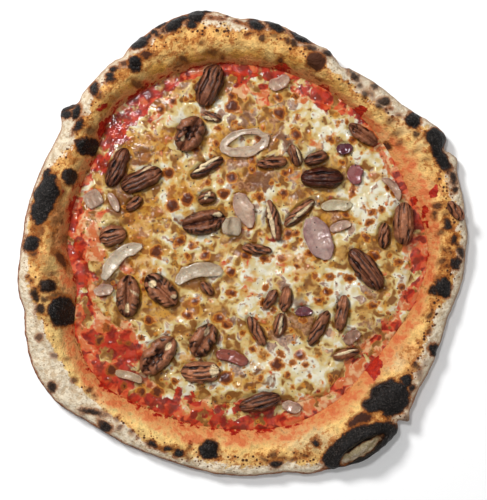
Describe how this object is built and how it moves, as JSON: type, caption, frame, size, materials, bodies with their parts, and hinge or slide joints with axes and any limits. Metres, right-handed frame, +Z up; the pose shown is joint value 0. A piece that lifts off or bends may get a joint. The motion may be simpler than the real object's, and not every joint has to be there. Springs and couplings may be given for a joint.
{
  "type": "pizza",
  "caption": "Whole thin pizza with a blistered, charred rim, tomato sauce, melted cheese, pecan nuts and red onion.",
  "frame": {"origin": "middle of the pizza's outline seen from above, on the plane of its flat underside", "axes": "+Z up through the toppings, +X to the right and +Y away from someone who looks down on it, with the burst bubble of the rim at +X -Y"},
  "size_m": [0.2972, 0.3068, 0.0254],
  "materials": {
    "crust": "baked dough, floury at the side, golden on top, with black blisters",
    "sauce": "wet tomato sauce",
    "cheese": "melted cheese, oily, with brown blisters",
    "pecan": "toasted nut skin, ridged, pale where it is broken",
    "onion": "cooked red onion, limp and half clear"
  },
  "bodies": {
    "root": {"crust": "crust", "sauce": "sauce", "cheese": "cheese", "pecan_01": "pecan", "pecan_02": "pecan", "pecan_03": "pecan", "pecan_04": "pecan", "pecan_05": "pecan", "pecan_06": "pecan", "pecan_07": "pecan", "pecan_08": "pecan", "pecan_09": "pecan", "pecan_10": "pecan", "pecan_11": "pecan", "pecan_12": "pecan", "pecan_13": "pecan", "pecan_14": "pecan", "pecan_15": "pecan", "pecan_16": "pecan", "pecan_17": "pecan", "pecan_18": "pecan", "pecan_19": "pecan", "pecan_20": "pecan", "pecan_21": "pecan", "pecan_22": "pecan", "pecan_23": "pecan", "pecan_24": "pecan", "pecan_25": "pecan", "pecan_26": "pecan", "pecan_27": "pecan", "pecan_28": "pecan", "pecan_29": "pecan", "pecan_30": "pecan", "pecan_31": "pecan", "pecan_32": "pecan", "pecan_33": "pecan", "pecan_34": "pecan", "pecan_35": "pecan", "pecan_36": "pecan", "onion_01": "onion", "onion_02": "onion", "onion_03": "onion", "onion_04": "onion", "onion_05": "onion", "onion_06": "onion", "onion_07": "onion", "onion_08": "onion", "onion_09": "onion", "onion_10": "onion", "onion_11": "onion", "onion_12": "onion", "onion_13": "onion", "onion_14": "onion", "onion_15": "onion", "onion_16": "onion", "onion_17": "onion", "onion_18": "onion", "onion_19": "onion", "onion_20": "onion"}
  },
  "joints": []
}
